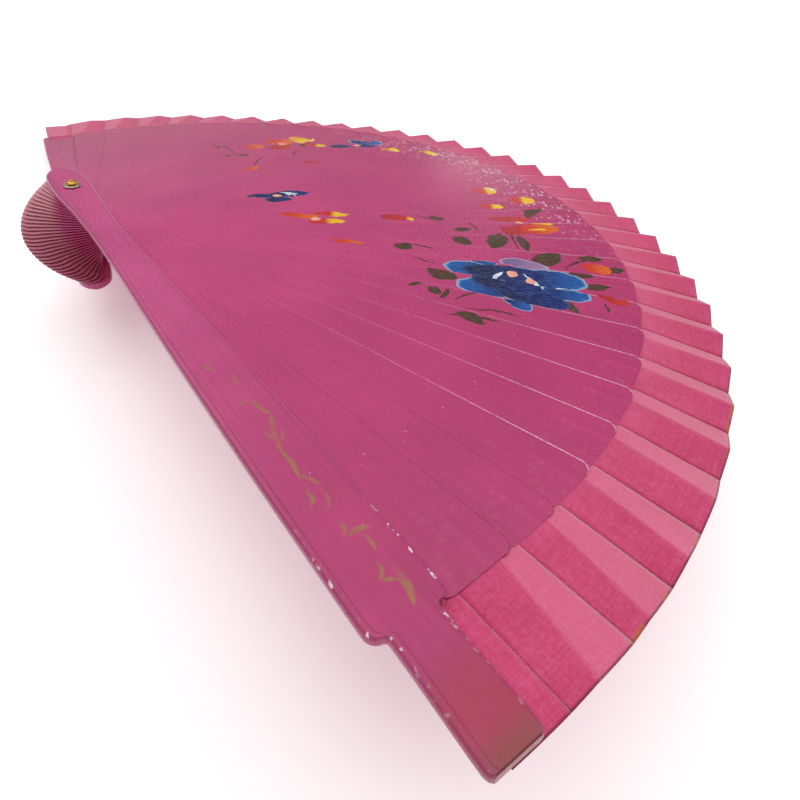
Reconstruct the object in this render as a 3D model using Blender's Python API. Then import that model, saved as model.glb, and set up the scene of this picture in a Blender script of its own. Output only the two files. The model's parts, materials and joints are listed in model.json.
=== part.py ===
"""A folding hand fan, opened out: two guards, thirty-two sticks, a pleated leaf in panels and the rivet they turn on.

The rivet's axis is Z, and the flat top of its head is the origin. The near guard lies on top of the pile,
close to +X, and each stick after it lies a little lower and a little further round, so the far guard is at
the bottom, close to -X. The pile is thicker at the blades than at the rivet, as in a real fan.
"""

import math

import bmesh
import bpy

MM = 0.001

STICKS = 32
FAR_GUARD = STICKS + 1

# The rivet and its washers
SHAFT_R = 1.0 * MM
HOLE_R = 1.3 * MM
RIVET_HEAD_R = 1.9 * MM
RIVET_HEAD_T = 0.9 * MM
RIVET_FLAT_R = 0.9 * MM
WASHER_R = 2.6 * MM
WASHER_T = 0.4 * MM
GAP = 0.3 * MM
GUARD_TOP = -(RIVET_HEAD_T + WASHER_T + 2 * GAP)

# How the pile stands: thickness and drop from one stick to the next
GUARD_T = 2.35 * MM
STICK_T = 0.46 * MM
PIVOT_STEP = 0.812 * MM
BLADE_STEP = 1.157 * MM
BLADE_BOW = 5.66 * MM

# Where each stick points, in degrees about the rivet
NEAR_GUARD_AT = 4.64
FAR_GUARD_AT = 175.36
FIRST_STICK_AT = 9.35
SECOND_STICK_AT = 13.7
STICK_START = 2.73
STICK_PITCH = 5.234
WAVE = 0.33

# Radii from the rivet
HEAD_END = 18.0 * MM
BLADE_R = 187.9 * MM
LEAF_INNER_R = 190.4 * MM
LEAF_R = 212.1 * MM
LEAF_T = 0.35 * MM

# Half width of a guard and of a stick at distances from the rivet
GUARD_WIDTHS = [(-10, 5.3), (-4, 5.8), (3, 5.7), (16, 4.8), (32, 4.35), (46, 4.45), (58, 4.8), (71, 5.2),
                (84, 5.65), (106, 6.3), (125, 6.75), (142, 7.15), (157, 7.4), (171, 7.6), (184, 7.75)]
GUARD_STEP_AT = 188.0 * MM
GUARD_STEP_R = 2.2 * MM
TIP_HALF = 5.0 * MM
TIP_END_HALF = 5.35 * MM
STICK_WIDTHS = [(-14, 3.75), (0, 3.8), (60, 3.8), (78, 4.1), (92, 4.8), (110, 5.6), (140, 6.95), (183, 8.9)]
BLADE_CORNER = 3.0 * MM

# The leaf's pleats: angles from a stick's centre line, heights from the plane of its top face
RIDGE_IN, RIDGE_OUT = 1.15, -0.05
VALLEY_AT = 3.1
FIRST_VALLEY_AT = 3.0
PLEAT_DEPTH = 5.0 * MM
LEAF_SINK = 0.1 * MM
RIDGE_SINK = 0.2 * MM
SAG = 2.4 * MM
SAG_AT, SAG_SPREAD = 25.0, 4.5
FLATTEN_FROM, FLATTEN_OVER = 24, 8
LIFT_BY_FAR_GUARD = 1.6 * MM

RIB_STATIONS = 6
LEAF_ROWS = 4
PANELS = 17
PANEL_GAP = 0.05


def clear_scene():
    for obj in list(bpy.data.objects):
        bpy.data.objects.remove(obj, do_unlink=True)


def material(name, colour, roughness, metallic=0.0):
    made = bpy.data.materials.new(name)
    made.use_nodes = True
    shader = made.node_tree.nodes["Principled BSDF"]
    shader.inputs["Base Color"].default_value = (*colour, 1.0)
    shader.inputs["Roughness"].default_value = roughness
    shader.inputs["Metallic"].default_value = metallic
    made.diffuse_color = (*colour, 1.0)
    return made


def mesh_object(name, points, faces, finish, smooth=False):
    mesh = bpy.data.meshes.new(name)
    mesh.from_pydata(points, [], faces)
    mesh.materials.append(finish)
    shaped = bmesh.new()
    shaped.from_mesh(mesh)
    bmesh.ops.recalc_face_normals(shaped, faces=shaped.faces)
    shaped.to_mesh(mesh)
    shaped.free()
    for polygon in mesh.polygons:
        polygon.use_smooth = smooth
    obj = bpy.data.objects.new(name, mesh)
    bpy.context.scene.collection.objects.link(obj)
    return obj


def smoothstep(value):
    value = min(max(value, 0.0), 1.0)
    return value * value * (3.0 - 2.0 * value)


def stick_angle(k):
    """The direction of stick k's centre line, in degrees. Stick 0 is the near guard, the last the far guard."""
    if k == 0:
        return NEAR_GUARD_AT
    if k == 1:
        return FIRST_STICK_AT
    if k == 2:
        return SECOND_STICK_AT
    if k == FAR_GUARD:
        return FAR_GUARD_AT
    wave = -WAVE * math.sin(2.0 * math.pi * (k - 4.5) / 26.0)
    return STICK_START + STICK_PITCH * k + (wave if k > 4 else 0.0)


def top_at_pivot(k):
    if k == 0:
        return GUARD_TOP
    return GUARD_TOP - GUARD_T - GAP - PIVOT_STEP * (k - 1)


def top_at_blade_end(k):
    if k == 0:
        return GUARD_TOP
    along = (k - 1) / STICKS
    return GUARD_TOP - GUARD_T - GAP - BLADE_STEP * (k - 1) - BLADE_BOW * along * along


def slope(k):
    return (top_at_blade_end(k) - top_at_pivot(k)) / BLADE_R


def plane_height(k, radius):
    """The height of stick k's top face at this distance from the rivet, along its centre line."""
    return top_at_pivot(k) + slope(k) * radius


def outer_ridge(k):
    """The height of ridge k at the leaf's outer edge, from stick k's plane."""
    sag = SAG * math.exp(-(((k - SAG_AT) / SAG_SPREAD) ** 2))
    return -RIDGE_SINK - sag + LIFT_BY_FAR_GUARD * smoothstep((k - FLATTEN_FROM) / FLATTEN_OVER)


def outer_valley(k):
    """The height of the valley between sticks k and k + 1 at the leaf's outer edge, from stick k's plane."""
    if k == 0:
        return -GUARD_T - 2.5 * GAP
    sag = SAG * math.exp(-(((k - SAG_AT) / SAG_SPREAD) ** 2))
    near = 1.0 - 0.45 * math.exp(-(k - 1) / 1.5)
    far = 1.0 - 0.92 * smoothstep((k - FLATTEN_FROM) / FLATTEN_OVER)
    return -PLEAT_DEPTH * near * far - 0.6 * sag * far


def crease(k, radius, valley):
    """(angle, height) of ridge k, or of the valley after it, at this radius."""
    out = (radius - LEAF_INNER_R) / (LEAF_R - LEAF_INNER_R)
    if valley:
        angle = stick_angle(k) + (VALLEY_AT if k else FIRST_VALLEY_AT)
        if k == 0:
            inner = -GUARD_T - 1.5 * GAP - LEAF_SINK
        else:
            inner = plane_height(k + 1, radius) - plane_height(k, radius) - LEAF_SINK
        outer = outer_valley(k)
    else:
        angle = stick_angle(k) + RIDGE_IN + (RIDGE_OUT - RIDGE_IN) * out
        inner = -LEAF_SINK
        outer = outer_ridge(k)
    return angle, plane_height(k, radius) + inner + (outer - inner) * out


def leaf_over_rib(k, radius, angle):
    """The height of the leaf's top over stick k's rib: the facet from the valley before it to its ridge."""
    before, low = crease(k - 1, radius, True)
    ridge, high = crease(k, radius, False)
    return low + (high - low) * (angle - before) / (ridge - before)


def half_width(table, x):
    """The half width at distance x in millimetres, eased between the table's stations."""
    if x <= table[0][0]:
        return table[0][1]
    for (x0, w0), (x1, w1) in zip(table, table[1:]):
        if x <= x1:
            return w0 + (w1 - w0) * (x - x0) / (x1 - x0)
    return table[-1][1]


def rounded_end(end, width, reach, steps):
    """Stations (distance, half width) round a head of this half width whose tip is at -end."""
    stations = []
    for i in range(1, steps + 1):
        turn = 0.5 * math.pi * i / steps
        stations.append((-end + reach * (1.0 - math.cos(turn)), width * math.sin(turn)))
    return stations


def guard_stations():
    stations = rounded_end(HEAD_END, GUARD_WIDTHS[0][1] * MM, 8.0 * MM, 6)
    stations += [(x * MM, w * MM) for x, w in GUARD_WIDTHS[1:]]
    body = GUARD_WIDTHS[-1][1] * MM
    for i in range(1, 5):
        turn = 0.5 * math.pi * i / 4
        stations.append((GUARD_STEP_AT - GUARD_STEP_R + GUARD_STEP_R * math.sin(turn),
                         body - GUARD_STEP_R * (1.0 - math.cos(turn))))
    stations.append((GUARD_STEP_AT + 0.6 * MM, TIP_HALF))
    stations.append((LEAF_R - 1.2 * MM, TIP_END_HALF))
    stations.append((LEAF_R - 0.3 * MM, TIP_END_HALF - 0.5 * MM))
    return stations


def guard_section(half, edge):
    """One cross section of a guard: a flat underside, straight sides and a top whose edges are rounded."""
    right = [(half, -GUARD_T), (half, -edge * 1.1), (half - 0.3 * edge, -0.3 * edge), (half - edge, 0.0)]
    return right + [(-y, z) for y, z in reversed(right)]


def loft(sections):
    """Points and faces of a closed body through cross sections that all have the same number of points."""
    points = [point for section in sections for point in section]
    count = len(sections[0])
    faces = []
    for i in range(len(sections) - 1):
        for j in range(count):
            a, b = i * count + j, i * count + (j + 1) % count
            faces.append((a, b, b + count, a + count))
    faces.append(tuple(range(count)))
    faces.append(tuple(len(points) - count + j for j in range(count)))
    return points, faces


def add_guard(name, k, cutter, finish):
    """A guard. The far one is turned over, so its rounded edges are underneath."""
    sections = []
    for x, half in guard_stations():
        edge = min(0.8 * MM, 0.45 * half)
        section = guard_section(half, edge)
        if k:
            section = [(y, -GUARD_T - z) for y, z in section]
        sections.append([(x, y, z + slope(k) * x) for y, z in section])
    points, faces = loft(sections)
    place(mesh_object(name, points, faces, finish), k, cutter)


def blade_sections(k):
    """The head, neck and blade of stick k, up to the blade's rounded end."""
    stations = rounded_end(HEAD_END, STICK_WIDTHS[0][1] * MM, 4.0 * MM, 4)
    stations += [(x * MM, w * MM) for x, w in STICK_WIDTHS[1:]]
    widest = half_width(STICK_WIDTHS, 187.9) * MM + 0.1 * MM
    for i in range(1, 5):
        turn = 0.5 * math.pi * i / 4
        stations.append((BLADE_R - BLADE_CORNER * (1.0 - math.sin(turn)),
                         widest - BLADE_CORNER * (1.0 - math.cos(turn))))
    sections = []
    for x, half in stations:
        top = slope(k) * x
        sections.append([(x, half, top), (x, half, top - STICK_T), (x, -half, top - STICK_T), (x, -half, top)])
    return sections


def rib_sections(k):
    """The thin rib under the leaf: it starts as wide as a finger of the blade and leans with its pleat."""
    start, end = BLADE_R + 0.05 * MM, LEAF_R - 2.0 * MM
    sections = []
    for i in range(RIB_STATIONS + 1):
        part = i / RIB_STATIONS
        x = LEAF_INNER_R - 0.2 * MM + (end - LEAF_INNER_R) * (i - 1) / (RIB_STATIONS - 1) if i else start
        middle = (-1.5 - 2.6 * part) * MM
        half = (1.7 - 0.5 * part) * MM
        corners = []
        for y in (middle + half, middle - half):
            radius = math.hypot(x, y)
            angle = stick_angle(k) + math.degrees(math.atan2(y, x))
            under = leaf_over_rib(k, max(radius, LEAF_INNER_R), angle) - top_at_pivot(k) - LEAF_T - GAP
            corners.append((y, under if i else slope(k) * x))
        (y1, z1), (y2, z2) = corners
        sections.append([(x, y1, z1), (x, y1, z1 - STICK_T), (x, y2, z2 - STICK_T), (x, y2, z2)])
    return sections


def add_stick(k, cutter, finish):
    points, faces = loft(blade_sections(k) + rib_sections(k))
    place(mesh_object(f"stick_{k:02d}", points, faces, finish), k, cutter)


def place(obj, k, cutter):
    """Puts a stick or guard on the rivet's axis, at its own level and angle, and bores it for the rivet."""
    obj.location = (0.0, 0.0, top_at_pivot(k))
    obj.rotation_euler = (0.0, 0.0, math.radians(stick_angle(k)))
    bore = obj.modifiers.new("bore", "BOOLEAN")
    bore.operation = "DIFFERENCE"
    bore.solver = "EXACT"
    bore.object = cutter


def lathe(name, profile, finish, steps=32):
    """A turned piece on Z from a closed profile of (radius, height) points. A radius of 0 is on the axis."""
    points, faces, rings = [], [], []
    for radius, height in profile:
        if radius == 0.0:
            rings.append([len(points)] * steps)
            points.append((0.0, 0.0, height))
            continue
        rings.append([len(points) + i for i in range(steps)])
        points += [(radius * math.cos(2 * math.pi * i / steps), radius * math.sin(2 * math.pi * i / steps), height)
                   for i in range(steps)]
    pairs = list(zip(rings, rings[1:]))
    if profile[0][0] > 0.0:
        pairs.append((rings[-1], rings[0]))
    for low, high in pairs:
        for i in range(steps):
            j = (i + 1) % steps
            corners = list(dict.fromkeys((low[i], low[j], high[j], high[i])))
            if len(corners) > 2:
                faces.append(tuple(corners))
    return mesh_object(name, points, faces, finish, smooth=True)


def add_rivet(brass, pale):
    """One rivet through everything, closed by a low head at each end, with a washer under each head."""
    base = top_at_pivot(FAR_GUARD) - GUARD_T
    low = base - 2 * GAP - WASHER_T
    profile = [
        (0.0, low - RIVET_HEAD_T),
        (RIVET_FLAT_R, low - RIVET_HEAD_T),
        (0.78 * RIVET_HEAD_R, low - 0.8 * RIVET_HEAD_T),
        (RIVET_HEAD_R, low - 0.35 * RIVET_HEAD_T),
        (RIVET_HEAD_R, low),
        (SHAFT_R, low),
        (SHAFT_R, -RIVET_HEAD_T),
        (RIVET_HEAD_R, -RIVET_HEAD_T),
        (RIVET_HEAD_R, -0.65 * RIVET_HEAD_T),
        (0.78 * RIVET_HEAD_R, -0.2 * RIVET_HEAD_T),
        (RIVET_FLAT_R, 0.0),
        (0.0, 0.0),
    ]
    lathe("rivet", profile, brass)
    for name, bottom in (("washer_near", GUARD_TOP + GAP), ("washer_far", base - GAP - WASHER_T)):
        top = bottom + WASHER_T
        ring = [
            (HOLE_R, bottom),
            (WASHER_R - 0.1 * MM, bottom),
            (WASHER_R, bottom + 0.5 * WASHER_T),
            (WASHER_R - 0.1 * MM, top),
            (HOLE_R, top),
        ]
        lathe(name, ring, pale)


def panel_columns(panel, radius):
    """(angle, height) of each crease of one leaf panel at this radius. A panel covers two sticks' pleats."""
    first = 2 * panel - 1
    if first == FAR_GUARD:
        over_guard = plane_height(FAR_GUARD, radius) + LEAF_T + GAP
        angle, height = crease(FAR_GUARD - 1, radius, True)
        meets = FAR_GUARD_AT - math.degrees((TIP_END_HALF + 0.5 * MM) / radius)
        return [(angle + PANEL_GAP, height), (meets, over_guard), (FAR_GUARD_AT + 0.6, over_guard)]
    columns = []
    if first == 1:
        columns.append((NEAR_GUARD_AT - 0.3, plane_height(0, radius) - GUARD_T - 1.2 * GAP))
        columns.append(crease(0, radius, True))
    else:
        angle, height = crease(first - 1, radius, True)
        columns.append((angle + PANEL_GAP, height))
    columns += [crease(first, radius, False), crease(first, radius, True), crease(first + 1, radius, False)]
    angle, height = crease(first + 1, radius, True)
    columns.append((angle - PANEL_GAP, height))
    return columns


def add_panel(panel, finish):
    """One panel of the pleated leaf as a thin folded body, over its sticks' ribs."""
    points = []
    for row in range(LEAF_ROWS):
        radius = LEAF_INNER_R + (LEAF_R - LEAF_INNER_R) * row / (LEAF_ROWS - 1)
        for angle, height in panel_columns(panel, radius):
            turn = math.radians(angle)
            x, y = radius * math.cos(turn), radius * math.sin(turn)
            points += [(x, y, height), (x, y, height - LEAF_T)]
    across = len(panel_columns(panel, LEAF_R))
    faces = []

    def corner(row, column, under):
        return 2 * (row * across + column) + under

    for row in range(LEAF_ROWS - 1):
        for column in range(across - 1):
            for under in (0, 1):
                a, b = corner(row, column, under), corner(row + 1, column, under)
                c, d = corner(row + 1, column + 1, under), corner(row, column + 1, under)
                faces += [(a, b, c), (a, c, d)]
    rim = [(0, c) for c in range(across)] + [(r, across - 1) for r in range(1, LEAF_ROWS)]
    rim += [(LEAF_ROWS - 1, c) for c in range(across - 2, -1, -1)] + [(r, 0) for r in range(LEAF_ROWS - 2, 0, -1)]
    for (r0, c0), (r1, c1) in zip(rim, rim[1:] + rim[:1]):
        faces.append((corner(r0, c0, 0), corner(r1, c1, 0), corner(r1, c1, 1), corner(r0, c0, 1)))
    mesh_object(f"leaf_{panel:02d}", points, faces, finish)


def add_cutter():
    """The bore through the whole pile."""
    top = GUARD_TOP + 3.0 * MM
    bottom = top_at_pivot(FAR_GUARD) - GUARD_T - 3.0 * MM
    bore = [(0.0, bottom), (HOLE_R, bottom), (HOLE_R, top), (0.0, top)]
    cutter = lathe("bore_cutter", bore, material("cutter", (0.5, 0.5, 0.5), 0.5), steps=24)
    cutter.hide_render = True
    cutter.display_type = "WIRE"
    return cutter


def main():
    clear_scene()
    guard_finish = material("guard_lacquer", (0.36, 0.08, 0.18), 0.38)
    stick_finish = material("stick_lacquer", (0.48, 0.07, 0.18), 0.3)
    leaf_finish = material("leaf_cloth", (0.52, 0.06, 0.15), 0.85)
    brass = material("rivet_brass", (0.7, 0.48, 0.2), 0.3, 1.0)
    pale = material("washer_metal", (0.75, 0.68, 0.58), 0.35, 1.0)
    cutter = add_cutter()
    add_guard("near_guard", 0, cutter, guard_finish)
    for k in range(1, FAR_GUARD):
        add_stick(k, cutter, stick_finish)
    add_guard("far_guard", FAR_GUARD, cutter, guard_finish)
    add_rivet(brass, pale)
    for panel in range(1, PANELS + 1):
        add_panel(panel, leaf_finish)


main()
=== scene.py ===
"""The looks of an open folding fan: lacquered sticks, a pleated cloth leaf, two guards and the brass rivet."""

import json
import math

import bmesh
import bpy
import numpy as np
from mathutils import Matrix, Vector


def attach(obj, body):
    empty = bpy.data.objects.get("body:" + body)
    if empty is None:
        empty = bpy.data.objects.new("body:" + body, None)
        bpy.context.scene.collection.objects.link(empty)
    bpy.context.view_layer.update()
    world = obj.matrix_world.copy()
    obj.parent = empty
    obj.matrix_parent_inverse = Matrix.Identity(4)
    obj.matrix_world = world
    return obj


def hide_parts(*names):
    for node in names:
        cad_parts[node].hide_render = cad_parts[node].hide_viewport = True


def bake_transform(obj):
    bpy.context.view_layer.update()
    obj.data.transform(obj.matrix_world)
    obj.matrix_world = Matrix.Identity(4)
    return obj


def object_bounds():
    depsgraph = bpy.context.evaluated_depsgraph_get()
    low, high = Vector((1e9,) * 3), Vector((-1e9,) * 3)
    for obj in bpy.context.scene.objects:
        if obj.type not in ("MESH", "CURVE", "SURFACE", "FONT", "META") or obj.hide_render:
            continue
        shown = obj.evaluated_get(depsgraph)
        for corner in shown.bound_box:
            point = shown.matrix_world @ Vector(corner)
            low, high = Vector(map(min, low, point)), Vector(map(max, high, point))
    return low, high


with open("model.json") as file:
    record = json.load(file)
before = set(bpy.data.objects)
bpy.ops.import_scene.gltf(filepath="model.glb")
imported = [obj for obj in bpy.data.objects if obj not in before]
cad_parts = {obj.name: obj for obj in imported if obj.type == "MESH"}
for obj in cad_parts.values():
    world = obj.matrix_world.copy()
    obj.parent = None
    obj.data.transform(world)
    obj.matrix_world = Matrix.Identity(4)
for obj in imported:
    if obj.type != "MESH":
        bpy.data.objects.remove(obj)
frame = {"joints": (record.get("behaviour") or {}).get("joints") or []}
cad_low, cad_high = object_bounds()

MM = 0.001
STICKS = 32
FAR_GUARD = STICKS + 1
rng = np.random.default_rng(11)

# ---------------------------------------------------------------- the frame's own dimensions, as in the CAD

# sticks and guards
GUARD_TOP = -1.9 * MM
GUARD_T = 2.35 * MM
STICK_T = 0.46 * MM
GAP = 0.3 * MM
PIVOT_STEP = 0.812 * MM
BLADE_STEP = 1.157 * MM
BLADE_BOW = 5.66 * MM
NEAR_GUARD_AT = 4.64
HEAD_END = 18.0 * MM
BLADE_R = 187.9 * MM
BORE_R = 1.3 * MM
# half widths in millimetres, at distances from the rivet in millimetres
GUARD_WIDTHS = [(-10, 5.3), (-4, 5.8), (3, 5.7), (16, 4.8), (32, 4.35), (46, 4.45), (58, 4.8), (71, 5.2),
                (84, 5.65), (106, 6.3), (125, 6.75), (142, 7.15), (157, 7.4), (171, 7.6), (184, 7.75)]
STICK_WIDTHS = [(-14, 3.75), (0, 3.8), (60, 3.8), (78, 4.1), (92, 4.8), (110, 5.6), (140, 6.95), (183, 8.9)]
GUARD_TIP = [(188.5, 5.05), (189.2, 5.0), (195, 5.05), (202, 5.2), (208, 5.35), (210.6, 5.35), (211.5, 5.1),
             (212, 4.6)]
# the leaf
TUCK_R = 186.6 * MM
TUCK_DEPTH = 0.9 * MM
CLOTH_INNER_R = 187.95 * MM
LEAF_INNER_R = 190.4 * MM
LEAF_R = 212.1 * MM
CLOTH_T = 0.22 * MM
CLOTH_SINK = 0.1 * MM
# how far each crease stands from its stick's own direction, in degrees
RIDGE_IN, RIDGE_OUT = 1.15, -0.05
VALLEY_AT = 3.1
FIRST_VALLEY_AT = 3.0
# heights of the creases at the rim
RIDGE_SINK = 0.2 * MM
VALLEY_DEPTH = 5.0 * MM
SAG, SAG_AT, SAG_SPREAD = 2.4 * MM, 25.0, 4.5
FLATTEN_FROM, FLATTEN_OVER = 24, 8
LIFT_BY_FAR_GUARD = 1.6 * MM


def body_name(k):
    if k == 0:
        return "near_guard"
    return "far_guard" if k == FAR_GUARD else f"stick_{k:02d}"


def opening_angles():
    """Each stick's direction in degrees: the near guard's, plus how far each joint can close."""
    angles = [NEAR_GUARD_AT]
    for joint in frame["joints"]:
        angles.append(angles[-1] - joint["range_deg"][0])
    return angles


ANGLES = opening_angles()


def smoothstep(value):
    """0 to 1 as the value goes from 0 to 1, level at both ends."""
    value = np.clip(value, 0.0, 1.0)
    return value * value * (3.0 - 2.0 * value)


def top_at_pivot(k):
    """The height of stick k's top face on the rivet's axis."""
    return GUARD_TOP if k == 0 else GUARD_TOP - GUARD_T - GAP - PIVOT_STEP * (k - 1)


def top_at_blade_end(k):
    """The same at its blade's end, where the cloth spreads the sticks apart."""
    if k == 0:
        return GUARD_TOP
    along = (k - 1) / STICKS
    return GUARD_TOP - GUARD_T - GAP - BLADE_STEP * (k - 1) - BLADE_BOW * along * along


def slope(k):
    return (top_at_blade_end(k) - top_at_pivot(k)) / BLADE_R


def plane_height(k, radius):
    return top_at_pivot(k) + slope(k) * radius


def width_at(table, x):
    """Half widths in metres at distances x in metres, eased so that no corner shows between stations."""
    grid = np.arange(-30.0, 230.0, 0.5)
    xs, ws = np.array(table).T
    rough = np.interp(grid, xs, ws)
    kernel = np.hanning(23)
    padded = np.pad(rough, 11, mode="edge")
    eased = np.convolve(padded, kernel / kernel.sum(), mode="valid")
    return np.interp(np.asarray(x) / MM, grid, eased) * MM


# ---------------------------------------------------------------- meshes

def new_object(name, points, faces, materials=(), smooth=True):
    mesh = bpy.data.meshes.new(name)
    mesh.from_pydata([tuple(p) for p in points], [], [tuple(f) for f in faces])
    for item in materials:
        mesh.materials.append(item)
    mesh.polygons.foreach_set("use_smooth", [smooth] * len(mesh.polygons))
    mesh.update()
    obj = bpy.data.objects.new(name, mesh)
    bpy.context.scene.collection.objects.link(obj)
    return obj


def store(obj, name, vectors):
    """Keeps one vector per point, for the material to read."""
    stored = obj.data.attributes.new(name, "FLOAT_VECTOR", "POINT")
    stored.data.foreach_set("vector", np.asarray(vectors, float).ravel())


def outward(obj):
    """Turns every face outward."""
    shaped = bmesh.new()
    shaped.from_mesh(obj.data)
    bmesh.ops.recalc_face_normals(shaped, faces=shaped.faces)
    shaped.to_mesh(obj.data)
    shaped.free()


def apply_modifiers(obj):
    graph = bpy.context.evaluated_depsgraph_get()
    mesh = bpy.data.meshes.new_from_object(obj.evaluated_get(graph))
    old = obj.data
    obj.modifiers.clear()
    obj.data = mesh
    bpy.data.meshes.remove(old)


def weighted(obj):
    """Keeps broad faces flat in the shading, so that only the rounded edges catch light."""
    modifier = obj.modifiers.new("even_shading", "WEIGHTED_NORMAL")
    modifier.keep_sharp = True
    modifier.weight = 60


def ring_loft(sections):
    """Points and faces of a closed body through equal cross sections."""
    count = len(sections[0])
    points = np.concatenate(sections)
    faces = []
    for i in range(len(sections) - 1):
        for j in range(count):
            a, b = i * count + j, i * count + (j + 1) % count
            faces.append((a, b, b + count, a + count))
    faces.append(tuple(range(count - 1, -1, -1)))
    faces.append(tuple(len(points) - count + j for j in range(count)))
    return points, faces


def to_row(k, points):
    """Points along a stick (distance, sideways, height above its plane at the rivet) into the row frame."""
    points = np.asarray(points, float)
    turn = math.radians(ANGLES[k])
    x = points[:, 0] * math.cos(turn) - points[:, 1] * math.sin(turn)
    y = points[:, 0] * math.sin(turn) + points[:, 1] * math.cos(turn)
    return np.stack([x, y, points[:, 2] + top_at_pivot(k)], axis=1)


def bored(obj, cutter):
    """Cuts the rivet's hole."""
    cut = obj.modifiers.new("bore", "BOOLEAN")
    cut.operation = "DIFFERENCE"
    cut.solver = "EXACT"
    cut.object = cutter
    bpy.context.view_layer.update()
    apply_modifiers(obj)


def slab_section(half, top, thick, edge, across=9):
    """A flat cross section with rounded edges: (sideways, height) points all round."""
    arc = [(half - edge * (1 - math.sin(t)), top - edge * (1 - math.cos(t)))
           for t in np.linspace(0, math.pi / 2, 4)]
    low = [(half - edge * (1 - math.cos(t)), top - thick + edge * (1 - math.sin(t)))
           for t in np.linspace(0, math.pi / 2, 4)]
    inner = half - edge
    upper = [(y, top) for y in np.linspace(-inner, inner, across)][1:-1]
    under = [(y, top - thick) for y in np.linspace(inner, -inner, across)][1:-1]
    right = arc + low
    left = [(-y, z) for y, z in reversed(right)]
    return upper + right + under + left


def rounded_end(end, width, reach, steps):
    """Stations (distance, half width) of a head that ends in an arc."""
    turns = 0.5 * math.pi * (np.arange(steps) + 0.6) / steps
    return [(-end + reach * (1 - math.cos(t)), width * math.sin(t)) for t in turns]


# ---------------------------------------------------------------- the leaf's creases

def sag_of(k):
    """The leaf hangs lower round the twenty-fifth stick."""
    return SAG * math.exp(-(((k - SAG_AT) / SAG_SPREAD) ** 2))


def flattened(k):
    """0 on most sticks, rising to 1 at the far guard, where the pleats lie nearly flat."""
    return smoothstep((k - FLATTEN_FROM) / FLATTEN_OVER)


def outer_ridge(k):
    """Ridge k at the rim, above its stick's plane."""
    return -RIDGE_SINK - sag_of(k) + LIFT_BY_FAR_GUARD * flattened(k)


def outer_valley(k):
    """The valley after ridge k at the rim, above the same plane."""
    if k == 0:
        return -GUARD_T - 2.5 * GAP
    near = 1.0 - 0.45 * math.exp(-(k - 1) / 1.5)
    far = 1.0 - 0.92 * flattened(k)
    return -VALLEY_DEPTH * near * far - 0.6 * sag_of(k) * far


def crease(k, radius, valley):
    """(angle, height) of ridge k, or of the valley after it, at this radius."""
    out = (radius - LEAF_INNER_R) / (LEAF_R - LEAF_INNER_R)
    if valley:
        angle = ANGLES[k] + (VALLEY_AT if k else FIRST_VALLEY_AT)
        if k == 0:
            inner = -GUARD_T - 1.5 * GAP - CLOTH_SINK
        else:
            inner = plane_height(k + 1, radius) - plane_height(k, radius) - CLOTH_SINK
        outer = outer_valley(k)
    else:
        angle = ANGLES[k] + RIDGE_IN + (RIDGE_OUT - RIDGE_IN) * out
        inner = -CLOTH_SINK
        outer = outer_ridge(k)
    return angle, plane_height(k, radius) + inner + (outer - inner) * out


def polar(radius, angle, height):
    """A point of the row frame, from an angle in degrees."""
    turn = math.radians(angle)
    return (radius * math.cos(turn), radius * math.sin(turn), height)


# ---------------------------------------------------------------- shader building

def shade(red, green, blue):
    """A colour given as it looks on a screen, 0 to 255, as the shader's linear values."""
    def linear(value):
        value /= 255.0
        return value / 12.92 if value <= 0.04045 else ((value + 0.055) / 1.055) ** 2.4
    return (linear(red), linear(green), linear(blue), 1.0)


class Tree:
    """A material's nodes, built by small calls that return sockets."""

    def __init__(self, name, **uniform):
        self.material = bpy.data.materials.new(name)
        self.material.use_nodes = True
        self.nodes = self.material.node_tree.nodes
        self.links = self.material.node_tree.links
        self.shader = self.nodes["Principled BSDF"]
        for key, value in uniform.items():
            self.shader.inputs[key.replace("_", " ")].default_value = value

    def feed(self, socket, value):
        """Links a socket, sets a plain value, or leaves the default for None."""
        if isinstance(value, bpy.types.NodeSocket):
            self.links.new(value, socket)
        elif value is not None:
            socket.default_value = value

    def add(self, kind, values=(), output=0, **settings):
        made = self.nodes.new("ShaderNode" + kind)
        for key, value in settings.items():
            setattr(made, key, value)
        pairs = values.items() if isinstance(values, dict) else enumerate(values)
        for key, value in pairs:
            self.feed(made.inputs[key], value)
        return made.outputs[output]

    def math(self, operation, *values, clamp=False):
        return self.add("Math", values, operation=operation, use_clamp=clamp)

    def mix(self, factor, first, second, blend="MIX"):
        return self.add("Mix", {0: factor, 6: first, 7: second}, output=2, data_type="RGBA", blend_type=blend)

    def ease(self, value, start, end, low=0.0, high=1.0):
        """Goes smoothly from low to high as the value goes from start to end."""
        return self.add("MapRange", (value, start, end, low, high), interpolation_type="SMOOTHSTEP")

    def noise(self, vector, scale, detail=2.0, rough=0.5):
        return self.add("TexNoise", {"Vector": vector, "Scale": scale, "Detail": detail, "Roughness": rough})

    def mapped(self, vector, location=(0, 0, 0), turn=0.0, scale=(1, 1, 1), inverse=False):
        kind = "TEXTURE" if inverse else "POINT"
        return self.add("Mapping", (vector, location, (0, 0, turn), scale), vector_type=kind)

    def attribute(self, name):
        return self.add("Attribute", attribute_name=name, output=1)

    def split(self, vector):
        made = self.nodes.new("ShaderNodeSeparateXYZ")
        self.feed(made.inputs[0], vector)
        return made.outputs

    def row(self):
        """Millimetres in the row frame. They travel with the piece."""
        made = self.nodes.new("ShaderNodeTexCoord")
        return self.mapped(made.outputs["Object"], scale=(1000, 1000, 1000))

    def bump(self, height, strength, distance, normal=None):
        return self.add("Bump", {"Height": height, "Strength": strength, "Distance": distance, "Normal": normal})

    def finish(self, colour, roughness=None, normal=None):
        self.feed(self.shader.inputs["Base Color"], colour)
        self.feed(self.shader.inputs["Roughness"], roughness)
        self.feed(self.shader.inputs["Normal"], normal)
        return self.material


# ---------------------------------------------------------------- brushwork

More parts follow.
